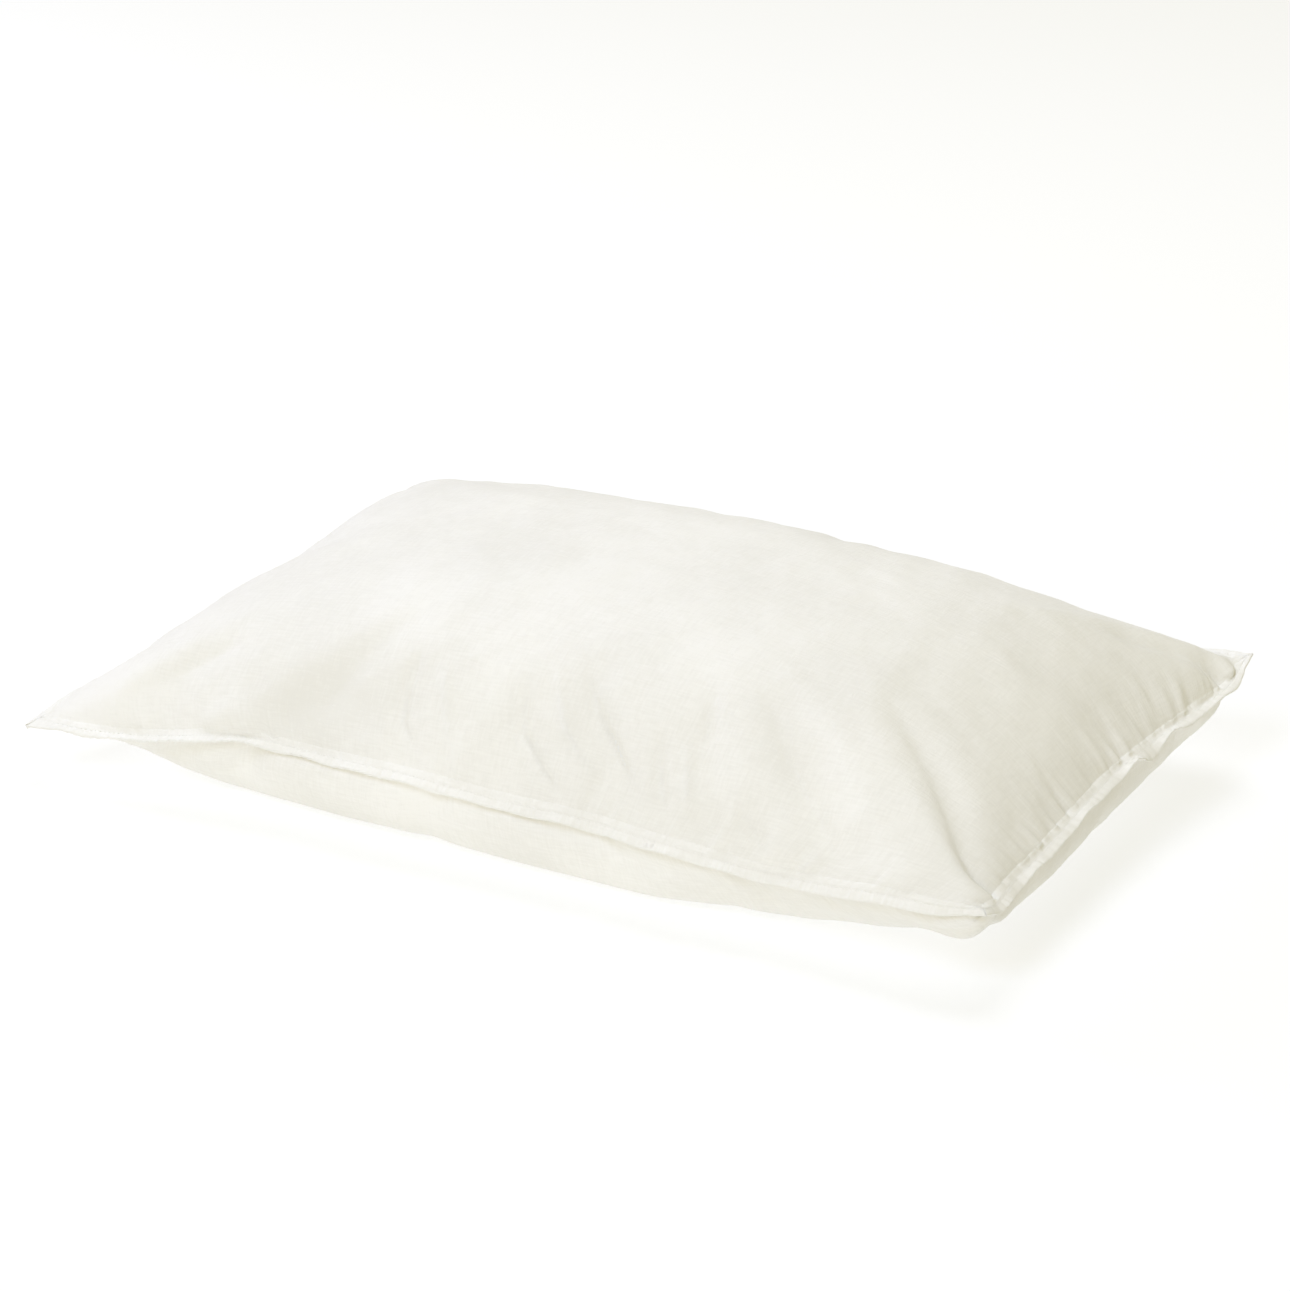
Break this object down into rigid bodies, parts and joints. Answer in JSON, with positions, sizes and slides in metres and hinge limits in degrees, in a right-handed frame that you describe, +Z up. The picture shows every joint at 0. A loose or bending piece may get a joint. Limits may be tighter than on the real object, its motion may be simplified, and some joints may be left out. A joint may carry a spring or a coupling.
{
  "type": "bed pillow",
  "caption": "Plump rectangular bed pillow: a plain cotton case with flat sewn edges, open at one end behind a tuck-in flap, round a piped fibre-filled insert.",
  "frame": {"origin": "on the bed surface that the pillow lies on, under the centre of its bounding box", "axes": "+X along the length to the case's sewn-up end, +Y across the pillow to its back seam, +Z up"},
  "size_m": [0.722, 0.455, 0.165],
  "materials": {
    "case_cotton": "soft off-white plain-weave cotton, washed and slightly crumpled",
    "case_seam_cotton": "several layers of the same cotton, pressed flat and lightly puckered by the stitching",
    "sewing_thread": "twisted off-white cotton thread with a faint lustre",
    "ticking": "tight white cotton ticking",
    "piping": "white cotton bias tape over a cord",
    "fibre_fill": "white polyester fibre wadding",
    "satin_label": "blank white woven satin tape"
  },
  "bodies": {
    "root": {"case_top_panel": "case_cotton", "case_bottom_panel": "case_cotton", "case_tuck_flap": "case_cotton", "case_flap_hem": "case_cotton", "case_flap_stitching": "sewing_thread", "case_front_seam": "case_seam_cotton", "case_back_seam": "case_seam_cotton", "case_closed_end_seam": "case_seam_cotton", "case_front_stitching": "sewing_thread", "case_back_stitching": "sewing_thread", "case_closed_end_stitching": "sewing_thread", "case_seam_backtack": "sewing_thread", "case_opening_hem": "case_seam_cotton", "case_opening_fold": "case_seam_cotton", "case_opening_stitching": "sewing_thread", "case_care_label": "satin_label", "insert_top_ticking": "ticking", "insert_bottom_ticking": "ticking", "insert_piping": "piping", "insert_closing_stitching": "sewing_thread", "insert_care_label": "satin_label", "insert_fibre_fill": "fibre_fill"}
  },
  "joints": []
}
